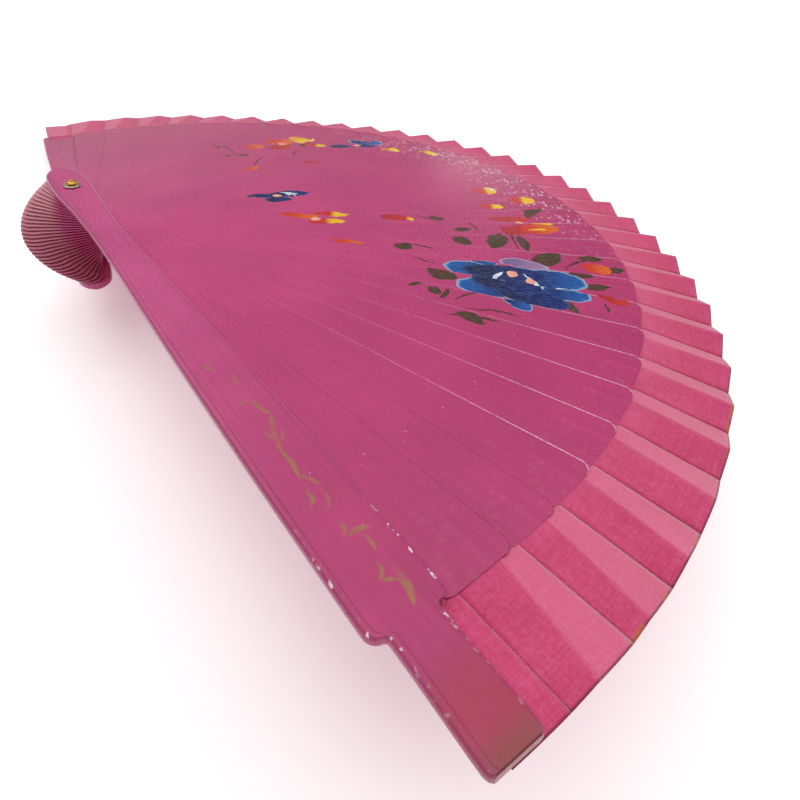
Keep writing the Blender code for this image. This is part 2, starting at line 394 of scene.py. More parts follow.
STYLES = {
    # start colour, end colour, rim colour, rim strength, roundness of the outline
    "navy": (shade(2, 14, 74), shade(4, 32, 108), shade(60, 130, 190), 0.25, 2),
    "blue": (shade(2, 32, 106), shade(0, 84, 160), shade(170, 208, 232), 0.75, 2),
    "lilac": (shade(120, 92, 146), shade(164, 120, 160), shade(196, 206, 226), 0.6, 2),
    "white": (shade(190, 214, 232), shade(236, 240, 246), None, 0.0, 1),
    "red": (shade(178, 26, 34), shade(200, 36, 20), None, 0.0, 2),
    "orange": (shade(210, 44, 12), shade(226, 100, 8), None, 0.0, 2),
    "flame": (shade(204, 36, 20), shade(240, 190, 0), None, 0.0, 2),
    "yellow": (shade(228, 160, 0), shade(244, 212, 0), shade(250, 232, 130), 0.3, 2),
    "salmon": (shade(250, 176, 150), shade(244, 158, 134), None, 0.0, 2),
    "leaf": (shade(88, 48, 24), shade(66, 52, 14), None, 0.0, 1),
    "stem": (shade(112, 34, 44), shade(88, 44, 28), None, 0.0, 1),
    "gilt": (shade(160, 106, 84), shade(168, 116, 76), None, 0.0, 1),
}


def brushed(tree, coords, painted, strokes, softness=0.08):
    """Lays strokes over the colour, and returns it with the mask of all strokes.

    A stroke is (style, start, end, half width, bend), in coords' millimetres.
    """
    cover = None
    for style, start, end, half, bend in strokes:
        first, last, rim, rim_strength, roundness = STYLES[style]
        middle = 0.5 * (Vector(start) + Vector(end))
        reach = 0.5 * (Vector(end) - Vector(start))
        turn = math.atan2(reach.y, reach.x)
        local = tree.mapped(coords, (*middle, 0), turn, (reach.length, half, 1), inverse=True)
        x, y, _ = tree.split(local)
        along = tree.math("MULTIPLY", x, x)
        side = tree.math("MULTIPLY_ADD", along, bend / half, y)
        side = tree.math("MULTIPLY", side, side) if roundness == 2 else tree.math("ABSOLUTE", side)
        edge = tree.math("ADD", along, side)
        mask = tree.ease(edge, 1.0 + softness, 1.0 - softness)
        # a flame changes colour sharply half way, the others along their whole length
        turning = (-0.15, 0.25) if style == "flame" else (-0.7, 0.8)
        colour = tree.mix(tree.ease(x, *turning), first, last)
        if rim:
            colour = tree.mix(tree.ease(edge, 0.72, 1.0, 0.0, rim_strength), colour, rim)
        painted = tree.mix(mask, painted, colour)
        cover = mask if cover is None else tree.math("MAXIMUM", cover, mask)
    return painted, cover


# The flowers and sprays painted across the open blades. A stroke is (style, radius, azimuth, radius, azimuth,
# half width, bend): its two ends, then its width, in millimetres and degrees.
PAINTING = [
    # stems and leaves
    ("stem", 136, 69.5, 139, 64.5, 0.5, 0.6), ("stem", 132, 67.5, 114, 73, 0.35, 1.0),
    ("stem", 149, 68, 152, 58.5, 0.5, 0.6), ("stem", 153, 67, 150, 60, 0.4, -0.5),
    ("stem", 164, 53.5, 177, 57.3, 0.55, 0.9), ("stem", 167, 75, 163, 70.5, 0.5, 0.4),
    ("stem", 132, 35, 148, 36.5, 0.6, 0.8), ("stem", 135, 38, 153, 39.5, 0.5, 1.2),
    ("stem", 131, 39, 139, 43, 0.5, 0.8), ("stem", 110, 57, 122, 55.5, 0.45, 0.8),
    ("stem", 113, 51, 122, 49.5, 0.45, -0.7), ("stem", 177, 45.8, 178, 44, 0.5, 0.2),
    ("stem", 160, 77, 157, 74, 0.4, 0.3), ("stem", 146, 148.5, 133, 141, 0.5, -0.8),
    ("stem", 97, 125.5, 122, 130, 0.45, 2.2), ("stem", 134, 141, 121, 136, 0.4, 0.5),
    ("stem", 150, 126, 158, 119, 0.45, 1.0), ("stem", 126, 123, 136, 125, 0.4, 0.6),
    ("leaf", 162, 70.5, 174, 74.5, 2.6, 0.6), ("leaf", 147, 64.5, 142, 58, 4.0, 0.5),
    ("leaf", 153, 63.5, 155, 58, 2.0, 0.4), ("leaf", 154, 53.5, 166, 57.5, 4.2, -0.6),
    ("leaf", 171, 56.8, 181, 57.1, 2.2, 0.5), ("leaf", 166, 52, 175, 52, 2.4, 0.3),
    ("leaf", 181, 54.2, 187, 55.2, 2.2, 0.3), ("leaf", 169, 49, 180, 50, 2.0, -0.4),
    ("leaf", 163, 45, 169, 42.8, 1.6, 0.3), ("leaf", 127, 61.5, 134.5, 59.3, 2.8, 0.4),
    ("leaf", 129, 65, 136.5, 65.7, 1.7, 0.4), ("leaf", 119, 46.8, 130, 45.2, 3.4, -0.4),
    ("leaf", 123, 41.2, 127.5, 39.6, 1.8, 0.2), ("leaf", 129, 41.6, 128.6, 38.6, 0.9, 0.2),
    ("leaf", 134.5, 36, 144.5, 35.2, 2.4, 0.5), ("leaf", 106.5, 56, 113, 55.2, 2.6, 0.3),
    ("leaf", 116.5, 40, 120.5, 41.8, 0.8, 0.2), ("leaf", 122, 71.3, 128, 70.2, 1.7, 0.2),
    ("leaf", 135.5, 144, 132.5, 140.5, 1.3, 0.2), ("leaf", 120, 139.3, 118.5, 135.7, 1.3, -0.2),
    ("leaf", 119, 135.7, 122, 133, 1.4, 0.2), ("leaf", 143, 126, 150, 124.5, 1.8, 0.3),
    # the blue flower
    ("lilac", 143, 53.9, 160, 52.8, 4.4, -0.4), ("blue", 133, 52.2, 142, 52.4, 2.8, -0.2),
    ("blue", 143, 49.4, 124.5, 49.8, 5.4, 0.0), ("blue", 150, 45, 130, 44.4, 5.8, -0.2),
    ("blue", 146, 42.5, 155, 40.8, 3.0, 0.3), ("blue", 156, 47, 172.5, 46.4, 5.0, 0.2),
    ("blue", 150, 49.9, 172, 49.9, 6.4, 0.3), ("navy", 142, 45.2, 166, 43.9, 5.4, 0.3),
    ("navy", 130, 49.5, 160, 50.2, 5.0, 0.2), ("navy", 134, 46.6, 158, 46.6, 5.6, 0.0),
    ("white", 141, 47.6, 143.5, 50.2, 0.9, 0.4), ("white", 151, 50.6, 158, 46.6, 0.8, 0.5),
    ("white", 143, 47.3, 149, 47.2, 0.4, 0.2), ("white", 156, 47, 165, 48.4, 0.45, 0.5),
    ("salmon", 145.4, 49.9, 149, 49.9, 2.0, 0.0), ("salmon", 151.4, 48.7, 154.6, 48.7, 1.8, 0.0),
    # the red and yellow flower and its buds
    ("red", 147, 70.4, 164, 70, 2.4, 0.0), ("red", 148, 65.2, 164, 66.3, 4.0, 0.3),
    ("orange", 156, 65.9, 172, 66.6, 4.4, 0.2), ("yellow", 160, 68.5, 171, 67.6, 1.0, -0.4),
    ("yellow", 159, 65.8, 167, 66.1, 0.7, 0.2), ("salmon", 156.4, 68.9, 159.8, 68.3, 2.1, 0.0),
    ("flame", 154.5, 83.2, 165, 82.3, 4.2, 0.0), ("flame", 164, 77.9, 175.5, 77, 3.9, 0.2),
    ("flame", 148.5, 76.1, 158.5, 75.4, 2.4, 0.2), ("white", 162, 83.4, 165, 82.4, 0.7, 0.1),
    ("orange", 172, 54.6, 182.5, 54.4, 3.4, -0.3), ("red", 174, 47.8, 184.5, 46.4, 2.8, 0.2),
    ("red", 103.5, 72, 114, 70.6, 2.4, 0.1), ("yellow", 113, 70.6, 116, 70.2, 1.4, 0.0),
    ("orange", 85, 55.2, 96, 55.1, 1.4, 0.2),
    # the two flowers nearer the rivet
    ("navy", 65, 103.4, 76, 96.8, 3.4, 0.0), ("navy", 71, 98.6, 87.5, 95, 4.4, 0.0),
    ("navy", 67, 95, 77, 91, 3.2, 0.2), ("white", 77, 100, 84, 95, 0.8, 0.3),
    ("white", 78.5, 99.4, 80, 93.4, 0.7, -0.3), ("salmon", 72.6, 98, 75.8, 96.8, 1.4, 0.0),
    ("flame", 79, 75.6, 91.5, 73.4, 3.2, 0.0), ("orange", 66.5, 76.8, 80, 71.6, 3.2, 0.0),
    ("flame", 75, 68.6, 90, 68.6, 3.2, 0.2), ("salmon", 77.2, 71.4, 80.4, 69.8, 1.5, 0.0),
    # the far flowers
    ("orange", 132, 137, 140, 133.6, 3.8, 0.0), ("orange", 150.5, 135, 149, 128.6, 4.6, 0.0),
    ("red", 134, 131.3, 144.5, 128, 4.4, 0.0), ("yellow", 158, 131, 155.4, 125.4, 4.4, 0.0),
    ("flame", 147, 125.6, 153, 121.6, 2.4, 0.0), ("salmon", 143, 131, 146, 129.4, 1.4, 0.0),
    ("orange", 94, 126.5, 102.5, 124.7, 2.2, 0.0), ("red", 121.8, 118.4, 121.3, 114, 2.2, 0.0),
    ("navy", 149.5, 120.2, 159, 117.5, 2.6, 0.0), ("blue", 166, 119.8, 171.5, 113.4, 4.0, 0.0),
    ("navy", 158, 116.8, 166, 113.6, 2.8, 0.0), ("salmon", 161, 117.6, 163.8, 115.8, 1.6, 0.0),
    ("yellow", 165, 112, 166.2, 108.2, 2.6, 0.0), ("yellow", 175, 106.4, 176.4, 102.4, 2.2, 0.0),
]

# The gilt scroll on the near guard: (distance from the rivet, sideways) at each stroke's ends, half width, bend
SCROLL = [
    ((84, -1.4), (88, 0.2), 0.35, 0.3), ((86, 0.6), (85, -2.0), 0.3, 0.2), ((94, 0.2), (97, 2.0), 0.35, 0.3),
    ((93, 1.8), (96, 0.0), 0.3, 0.2), ((111, -2.4), (116, -0.6), 0.4, 0.3), ((112, 0.0), (114, -2.6), 0.3, 0.2),
    ((118, 0.6), (122, 2.6), 0.35, 0.3), ((119, 2.6), (122, 0.8), 0.3, 0.2),
    ((129, -2.8), (128, 1.6), 0.45, 0.8), ((128, 1.2), (135, 2.9), 0.55, -0.7), ((133, 3.1), (146, -0.7), 0.65, -0.7),
    ((143, 0.4), (154, 0.0), 0.6, 0.9), ((152, -0.5), (157, 2.4), 0.45, 0.4), ((156.6, -0.4), (161, -1.6), 0.5, 0.8),
    ((140, 3.2), (143, 1.2), 0.3, 0.3), ((138, -0.4), (142, 0.2), 0.3, 0.3), ((158, 2.2), (163, 0.4), 0.35, 0.5),
    ((165.6, 0.8), (169.8, -0.2), 0.45, 0.9), ((169, -0.4), (169.4, 4.6), 0.7, 0.6),
    ((170, 2.4), (174.6, 2.6), 0.5, 0.4), ((176.4, 1.8), (180.2, 0.0), 0.45, 0.9),
    ((179.6, -0.4), (181.4, 2.4), 0.45, 0.4),
    ((178.6, 3.4), (187, 1.8), 0.75, 0.5), ((181, 2.2), (184.6, 3.2), 0.5, 0.3),
]


# a blade takes the strokes that come this near to its middle line
STROKE_REACH = 9.0


def place_of(radius, azimuth):
    turn = math.radians(azimuth)
    return (radius * math.cos(turn), radius * math.sin(turn))


def strokes_on(k):
    """The strokes that reach blade k, in the row frame's millimetres."""
    found = []
    for style, r0, a0, r1, a1, half, bend in PAINTING:
        start, end = place_of(r0, a0), place_of(r1, a1)
        reach = math.degrees((half + abs(bend)) / min(r0, r1))
        near = math.degrees(STROKE_REACH / max(r0, r1))
        if min(a0, a1) - reach < ANGLES[k] + near and max(a0, a1) + reach > ANGLES[k] - near:
            found.append((style, start, end, half, bend))
    return found


# ---------------------------------------------------------------- materials

STICK_NEAR, STICK_FAR = shade(206, 79, 132), shade(194, 64, 117)
GUARD_NEAR, GUARD_FAR = shade(210, 88, 142), shade(192, 62, 116)
# the last colour here is painted glare: pale glints at the blade ends
CLOUDS, GRAIN, DUST, GLARE_GLINTS = shade(206, 190, 214), shade(176, 150, 170), shade(236, 190, 206), shade(250, 222, 234)
# the next line's colours: a painted highlight along the blades' far edges, paler towards the ends, and a painted
# shadow line on the dark-edged blades
EDGE_HIGHLIGHT_NEAR, EDGE_HIGHLIGHT_FAR, EDGE_SHADOW = shade(236, 168, 198), shade(255, 236, 246), shade(124, 44, 78)
BRISTLES = shade(190, 200, 216)
# the last colour here is painted shade for the guard's groove
STAIN, TIP, GUARD_EDGE_TONE, GROOVE_SHADE = shade(170, 52, 60), shade(110, 84, 60), shade(158, 62, 104), shade(120, 40, 78)
# painted highlights: pale glints on the guards' edges near the step
GUARD_EDGE_GLINTS = shade(255, 240, 248)


def shadow_edged(k):
    """The first and the last blades get a painted shadow line at the far edge, those between a bright painted
    highlight.
    """
    return k < 3 or k > 17


def painted_edge_light_of(k):
    """How strongly the painted line at a blade's far edge shows: painted shade on the first and last blades, and on
    the others a painted highlight that fades from the tenth blade to the sixteenth.
    """
    if shadow_edged(k):
        return 0.75
    return 0.85 * (1.0 - 0.8 * float(smoothstep((k - 10) / 6)))


def painted_glare_of(k):
    """Painted glints of glare at the blade ends: thick from the thirteenth blade to the twenty-second, thin
    elsewhere.
    """
    return 0.03 + 0.77 * float(smoothstep((k - 10) / 5) * (1.0 - smoothstep((k - 20) / 4)))


def head_wear_and_shade_of(k):
    """The rounded heads: pale with wear, and painted light and shade that is lightest at the top of the stack and
    darker with each blade below.
    """
    down = k / FAR_GUARD
    return shade(240 - 100 * down, 184 - 112 * down, 188 - 108 * down)


def lacquer(name, near, far, painted_edge_light=0.0, edge_shadowed=False, painted_glare=0.0, head_wear_and_shade=None):
    """Brushed lacquer over thin wood: faint grain, dust, heads pale with wear and painted shade, painted glints of
    glare, and a painted highlight or shadow line at the far edge. Returns the tree and its parts.

    The attribute "place" runs in millimetres: along from the rivet, sideways, and in from the far edge.
    """
    tree = Tree(name, Specular_IOR_Level=0.35)
    place = tree.attribute("place")
    along, _, from_edge = tree.split(place)
    colour = tree.mix(tree.ease(along, 60.0, 185.0), near, far)
    cloudy = tree.noise(tree.row(), 0.035, 3.0)
    colour = tree.mix(tree.ease(cloudy, 0.3, 0.7, 0.0, 0.3), colour, tree.mix(1.0, colour, CLOUDS, "MULTIPLY"))
    grain = tree.noise(tree.mapped(place, scale=(0.03, 1.3, 0.0)), 1.0, 4.0, 0.6)
    colour = tree.mix(tree.ease(grain, 0.35, 0.7, 0.0, 0.22), colour, tree.mix(1.0, colour, GRAIN, "MULTIPLY"))
    # the heads past the rivet: pale with wear, with painted light and shade down the stack
    if head_wear_and_shade:
        colour = tree.mix(tree.ease(along, -3.0, -9.0, 0.0, 0.7), colour, head_wear_and_shade)
    dust = tree.add("TexVoronoi", {"Vector": place, "Scale": 0.16}, feature="F1")
    dust = tree.ease(dust, 0.042, 0.024)
    colour = tree.mix(tree.math("MULTIPLY", dust, 0.7), colour, DUST)
    # painted highlights: pale glints of glare scattered over the blade ends
    if painted_glare:
        cells = tree.mapped(place, scale=(1.0, 0.6, 0.0))
        glare_glints = tree.add("TexVoronoi", {"Vector": cells, "Scale": 0.62}, feature="F1")
        patches = tree.noise(tree.row(), 0.5, 3.0, 0.6)
        glare_glints = tree.math("MULTIPLY", tree.ease(glare_glints, 0.44, 0.2), tree.ease(patches, 0.4, 0.56))
        glare_glints = tree.math("MULTIPLY", glare_glints, tree.ease(along, 148.0, 182.0, 0.0, painted_glare))
        colour = tree.mix(glare_glints, colour, GLARE_GLINTS)
    # painted highlight along the far edge, broken up by noise and stronger towards the blade's end; on the first and
    # last blades a painted shadow line there instead
    if painted_edge_light:
        edge_breakup = tree.noise(tree.mapped(place, scale=(0.9, 0.2, 0.0)), 1.0, 3.0, 0.7)
        edge_breakup = tree.ease(edge_breakup, 0.36, 0.62, 0.35, 1.0)
        rim = tree.ease(from_edge, 0.42, 0.18)
        rim = tree.math("MULTIPLY", rim, tree.ease(along, 70.0, 175.0, 0.12, 1.0))
        rim = tree.math("MULTIPLY", tree.math("MULTIPLY", rim, edge_breakup), painted_edge_light)
        edge_light_colour = EDGE_SHADOW if edge_shadowed else tree.mix(tree.ease(along, 140.0, 180.0), EDGE_HIGHLIGHT_NEAR, EDGE_HIGHLIGHT_FAR)
        colour = tree.mix(rim, colour, edge_light_colour)
    fine = tree.noise(tree.row(), 1.7, 3.0, 0.6)
    orange_peel = tree.noise(tree.row(), 0.55, 2.0)
    rough = tree.ease(fine, 0.3, 0.7, 0.24, 0.36)
    normal = tree.bump(fine, tree.ease(along, 120.0, 180.0, 0.03, 0.1), 0.0002)
    normal = tree.bump(orange_peel, 0.05, 0.0005, normal)
    normal = tree.bump(grain, 0.05, 0.0003, normal)
    return tree, colour, rough, normal


def wobbled(tree, coords, scale, amount):
    """The same coordinates, stirred a little, so that a stroke's outline isn't exact."""
    wobble = tree.add("TexNoise", {"Vector": coords, "Scale": scale, "Detail": 2.0}, output=1)
    wobble = tree.add("VectorMath", (wobble, (0.5, 0.5, 0.5)), operation="SUBTRACT")
    return tree.add("VectorMath", (wobble, (amount, amount, 0.0), coords), operation="MULTIPLY_ADD")


def blade_lacquer(name, k):
    return lacquer(name, STICK_NEAR, STICK_FAR, painted_edge_light_of(k), shadow_edged(k), painted_glare_of(k), head_wear_and_shade_of(k))


def stick_lacquer(k):
    tree, colour, rough, normal = blade_lacquer(f"stick_lacquer_{k:02d}", k)
    return tree.finish(colour, rough, normal)


def painted_lacquer(k):
    """The lacquer of blade k's top face, with its share of the flowers."""
    tree, colour, rough, normal = blade_lacquer(f"painted_lacquer_{k:02d}", k)
    coords = wobbled(tree, tree.row(), 0.35, 2.2)
    painted, cover = brushed(tree, coords, colour, strokes_on(k))
    bristles = tree.noise(tree.mapped(tree.attribute("place"), scale=(0.35, 2.2, 0.0)), 1.0, 3.0, 0.6)
    streaks = tree.math("MULTIPLY", tree.ease(bristles, 0.42, 0.78, 0.0, 0.16), cover)
    return tree.finish(tree.mix(streaks, painted, BRISTLES), rough, normal)


def guard_lacquer(name, scroll):
    """The guards: stained towards the tip, darker along the edges, painted shade in a groove, painted glints on the
    edges near the step, and one with the gilt scroll.
    """
    tree, colour, rough, normal = lacquer(name, GUARD_NEAR, GUARD_FAR)
    place = tree.attribute("place")
    along, _, from_edge = tree.split(place)
    to_near = tree.split(tree.attribute("near_edge"))[0]
    stain = tree.math("MULTIPLY", tree.ease(along, 192.0, 204.0), tree.noise(place, 0.12, 3.0))
    colour = tree.mix(tree.math("MULTIPLY", stain, 1.1, clamp=True), colour, STAIN)
    colour = tree.mix(tree.ease(along, 206.0, 212.0, 0.0, 0.5), colour, TIP)
    if scroll:
        strokes = [("gilt", *stroke) for stroke in SCROLL]
        gilded, cover = brushed(tree, wobbled(tree, place, 0.6, 0.45), colour, strokes, softness=0.3)
        faded = tree.ease(tree.noise(place, 0.5, 3.0, 0.7), 0.34, 0.6, 0.3, 0.95)
        kept = tree.ease(along, 80.0, 135.0, 0.4, 1.0)
        colour = tree.mix(tree.math("MULTIPLY", tree.math("MULTIPLY", cover, faded), kept), colour, gilded)
    edge = tree.math("MINIMUM", from_edge, to_near)
    # darker purple towards the guard's edges
    colour = tree.mix(tree.ease(edge, 1.3, 0.2, 0.0, 0.55), colour, GUARD_EDGE_TONE)
    # a groove near the near edge: a bump, darkened with painted shade
    groove = tree.math("MULTIPLY", tree.ease(to_near, 1.75, 1.6), tree.ease(to_near, 1.3, 1.45))
    colour = tree.mix(tree.math("MULTIPLY", groove, 0.35), colour, GROOVE_SHADE)
    normal = tree.bump(tree.math("SUBTRACT", 1.0, groove), 0.3, 0.00025, normal)
    # painted highlights: pale glints along the edges near the step
    edge_glints = tree.ease(tree.noise(place, 0.7, 2.0, 0.5), 0.56, 0.66)
    edge_glints = tree.math("MULTIPLY", edge_glints, tree.math("MULTIPLY", tree.ease(edge, 1.0, 0.6), tree.ease(edge, 0.05, 0.3)))
    edge_glints = tree.math("MULTIPLY", edge_glints, tree.ease(along, 160.0, 178.0, 0.0, 0.8))
    edge_glints = tree.math("MULTIPLY", edge_glints, tree.ease(along, 196.0, 188.0, 0.2, 1.0))
    return tree.finish(tree.mix(edge_glints, colour, GUARD_EDGE_GLINTS), rough, normal)


CLOTH, CLOTH_SLUB, CLOTH_DEEP = shade(206, 62, 112), shade(224, 96, 140), shade(190, 46, 92)
# the middle colour here is painted light for the cloth facets that face the lamps
CLOTH_LIGHT, CLOTH_LIT_FACET, CLOTH_GLUE = shade(232, 120, 158), shade(244, 140, 172), shade(168, 44, 84)
CLOTH_RIM, CLOTH_GILT = shade(128, 30, 50), shade(206, 120, 50)
THREADS = 11.5


def leaf_cloth():
    """Thin dyed cotton: a fine weave, slubs, uneven dye, painted light on the facets past each ridge, and a darker
    cut rim with traces of gilt.

    The attribute "weave" runs in millimetres: out from the tucked edge, along the row, and in from the rim.
    """
    tree = Tree("leaf_cloth", Sheen_Weight=0.45, Sheen_Roughness=0.45, Specular_IOR_Level=0.25)
    weave = tree.attribute("weave")
    out, across, from_rim = tree.split(weave)
    warp = tree.math("SINE", tree.math("MULTIPLY", across, THREADS))
    weft = tree.math("SINE", tree.math("MULTIPLY", out, THREADS))
    threads = tree.math("MULTIPLY", warp, weft)
    slub_out = tree.noise(tree.mapped(weave, scale=(0.12, 2.4, 0.0)), 1.0, 3.0, 0.6)
    slub_across = tree.noise(tree.mapped(weave, scale=(2.4, 0.12, 0.0)), 1.0, 3.0, 0.6)
    slubs = tree.math("ADD", slub_out, slub_across)
    colour = tree.mix(tree.ease(slubs, 0.8, 1.25, 0.0, 0.5), CLOTH, CLOTH_SLUB)
    patchy = tree.noise(tree.row(), 0.09, 3.0)
    colour = tree.mix(tree.ease(patchy, 0.35, 0.7, 0.0, 0.4), colour, CLOTH_DEEP)
    mottle = tree.noise(tree.row(), 1.1, 2.0)
    colour = tree.mix(tree.ease(mottle, 0.4, 0.75, 0.0, 0.25), colour, CLOTH_LIGHT)
    # painted light: the facets past each ridge, which face the lamps, are made paler
    facet = tree.split(tree.attribute("facet"))[0]
    colour = tree.mix(tree.math("MULTIPLY", facet, 0.3), colour, CLOTH_LIT_FACET)
    rim = tree.ease(from_rim, 0.55, 0.2)
    colour = tree.mix(tree.math("MULTIPLY", rim, 0.75), colour, CLOTH_RIM)
    gilt = tree.ease(tree.noise(tree.row(), 0.14, 2.0), 0.52, 0.62)
    gilt = tree.math("MULTIPLY", gilt, tree.ease(from_rim, 1.3, 0.3, 0.0, 0.6))
    colour = tree.mix(gilt, colour, CLOTH_GILT)
    glue = tree.math("MULTIPLY", tree.ease(out, 2.0, 0.4), tree.noise(tree.row(), 0.6, 2.0))
    colour = tree.mix(tree.math("MULTIPLY", glue, 0.5), colour, CLOTH_GLUE)
    normal = tree.bump(threads, 0.35, 0.00008)
    normal = tree.bump(slubs, 0.3, 0.00015, normal)
    normal = tree.bump(patchy, 0.25, 0.002, normal)
    return tree.finish(colour, tree.ease(mottle, 0.3, 0.7, 0.7, 0.88), normal)


def metal(name, clean, dull, scratch):
    """Polished metal, tarnished in patches and finely scratched."""
    tree = Tree(name, Metallic=1.0)
    row = tree.row()
    tarnish = tree.noise(row, 1.2, 4.0, 0.6)
    colour = tree.mix(tree.ease(tarnish, 0.42, 0.68), clean, dull)
    fine = tree.noise(tree.mapped(row, scale=(6, 1.0, 1.0)), scratch, 3.0)
    return tree.finish(colour, tree.ease(tarnish, 0.3, 0.7, 0.18, 0.42), tree.bump(fine, 0.15, 0.00006))


def floor_paper():
    """White paper, lit a little from within so that it stays white beside the fan's shadow."""
    tree = Tree("floor_paper", Specular_IOR_Level=0.1, Emission_Color=(1, 1, 1, 1), Emission_Strength=0.3)
    place = tree.nodes.new("ShaderNodeTexCoord").outputs["Object"]
    soft = tree.noise(place, 3.0, 2.0)
    colour = tree.mix(tree.ease(soft, 0.3, 0.7), (0.93, 0.93, 0.93, 1.0), (0.96, 0.96, 0.96, 1.0))
    return tree.finish(colour, 0.9)


# ---------------------------------------------------------------- sticks

def ring(radius, height, steps):
    turns = [2 * math.pi * i / steps for i in range(steps)]
    return [(radius * math.cos(turn), radius * math.sin(turn), height) for turn in turns]


def make_cutter(steps=28):
    """The rod that bores every stick and guard."""
    points = ring(BORE_R, 5 * MM, steps) + ring(BORE_R, top_at_pivot(FAR_GUARD) - 8 * MM, steps)
    faces = [(i, (i + 1) % steps, steps + (i + 1) % steps, steps + i) for i in range(steps)]
    faces += [tuple(range(steps)), tuple(range(2 * steps - 1, steps - 1, -1))]
    cutter = new_object("bore_cutter", points, faces)
    outward(cutter)
    return cutter


def lay_out(obj, k, half_at):
    """Stores each point's place on its stick in millimetres: along, sideways and in from either edge."""
    turn = math.radians(ANGLES[k])
    points = np.empty(3 * len(obj.data.vertices))
    obj.data.vertices.foreach_get("co", points)
    points = points.reshape(-1, 3)
    along = points[:, 0] * math.cos(turn) + points[:, 1] * math.sin(turn)
    across = points[:, 1] * math.cos(turn) - points[:, 0] * math.sin(turn)
    half = half_at(along)
    store(obj, "place", np.stack([along, across, half - across], axis=1) / MM)
    store(obj, "near_edge", np.stack([half + across] * 3, axis=1) / MM)


def top_faces_take(obj, index):
    for polygon in obj.data.polygons:
        if polygon.normal.z > 0.9:
            polygon.material_index = index


def blade_body(k, sections, finishes, stations, cutter):
    """The bored body of stick or guard k. A second finish goes on its top."""
    points, faces = ring_loft(sections)
    obj = new_object(body_name(k), to_row(k, points), faces, finishes)
    outward(obj)
    bored(obj, cutter)
    xs, halves = zip(*stations)
    lay_out(obj, k, lambda x: np.interp(x, xs, halves))
    if len(finishes) > 1:
        top_faces_take(obj, 1)
    weighted(obj)
    return obj


def make_stick(k, cutter):
    """One stick: a round head, a long neck and the wide blade, very slightly warped."""
    stations = rounded_end(HEAD_END, 3.75 * MM, 4.0 * MM, 7)
    xs = np.linspace(-13.5, 184.0, 70) * MM
    stations += list(zip(xs, width_at(STICK_WIDTHS, xs)))
    widest = stations[-1][1] + 0.1 * MM
    corner = 3.0 * MM
    for t in np.linspace(0.1, 1.0, 6) * math.pi / 2:
        stations.append((BLADE_R - corner * (1 - math.sin(t)), widest - corner * (1 - math.cos(t))))
    bend = rng.normal(0, 0.05, 4)
    sections = []
    for x, half in stations:
        along = x / BLADE_R
        warp = MM * 0.5 * (bend[0] * math.sin(3 * along) + bend[1] * math.sin(7 * along + 1.0))
        edge = min(0.14 * MM, 0.4 * half)
        section = [(x, y, slope(k) * x + z + warp) for y, z in slab_section(half, 0.0, STICK_T, edge)]
        sections.append(np.array(section))
    finishes = [stick_lacquer(k)]
    if strokes_on(k):
        finishes.append(painted_lacquer(k))
    obj = blade_body(k, sections, finishes, stations, cutter)
    obj.name = f"blade_{k:02d}"
    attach(obj, body_name(k))
    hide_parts(body_name(k))
    return obj


def make_rib(k, finish):
    """The thin rib under the cloth, a separate tongue let into the blade's end."""
    start, end = BLADE_R - 0.4 * MM, LEAF_R - 1.4 * MM
    thick = 0.4 * MM
    steps = 12
    sections = []
    for i in range(steps + 1):
        part = i / steps
        x = start + (end - start) * part
        middle = (-1.5 - 2.6 * part) * MM
        half = (1.7 - 0.5 * part) * MM
        ys = []
        for y in (middle + half, middle - half):
            # the rib lies just under its pleat's dark facet, which runs from the last valley to the ridge
            radius = math.hypot(x, y)
            angle = ANGLES[k] + math.degrees(math.atan2(y, x))
            a0, z0 = crease(k - 1, radius, True)
            a1, z1 = crease(k, radius, False)
            on_leaf = z0 + (z1 - z0) * (angle - a0) / (a1 - a0) - top_at_pivot(k) - 0.5 * MM
            level = slope(k) * x - 0.02 * MM
            ys.append((y, level + (on_leaf - level) * smoothstep(part / 0.12)))
        (y1, z1), (y2, z2) = ys
        sections.append(np.array([(x, y1, z1), (x, y1, z1 - thick), (x, y2, z2 - thick), (x, y2, z2)]))
    points, faces = ring_loft(sections)
    obj = new_object(f"rib_{k:02d}", to_row(k, points), faces, [finish], smooth=False)
    outward(obj)
    # its edges are hidden, so it is laid out as if they were far off, clear of the painted highlight and shadow line
    # at the edge
    lay_out(obj, k, lambda x: np.full_like(x, 8.0 * MM))
    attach(obj, body_name(k))


# ---------------------------------------------------------------- guards

def make_guard(k, cutter):
    """A thick guard with a stepped tip. The tip lies over the leaf's end."""
    stations = rounded_end(HEAD_END, 5.3 * MM, 8.0 * MM, 10)
    xs = np.linspace(-9.5, 184.5, 80) * MM
    stations += list(zip(xs, width_at(GUARD_WIDTHS, xs)))
    body = stations[-1][1]
    for t in np.linspace(0.15, 1.0, 6) * math.pi / 2:
        stations.append(((188.0 - 2.6) * MM + 2.6 * MM * math.sin(t), body - 2.2 * MM * (1 - math.cos(t))))
    stations += [(x * MM, half * MM) for x, half in GUARD_TIP]
    sections = []
    for x, half in stations:
        edge = min(0.75 * MM, 0.45 * half)
        section = slab_section(half, 0.0, GUARD_T, edge, across=11)
        sections.append(np.array([(x, y, slope(k) * x + z) for y, z in section]))
    finish = guard_lacquer("guard_lacquer_scroll", True) if k == 0 else guard_lacquer("guard_lacquer_plain", False)
    obj = blade_body(k, sections, [finish], stations, cutter)
    obj.name = "guard_near" if k == 0 else "guard_far"
    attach(obj, body_name(k))
    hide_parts(body_name(k))


# ---------------------------------------------------------------- the rivet

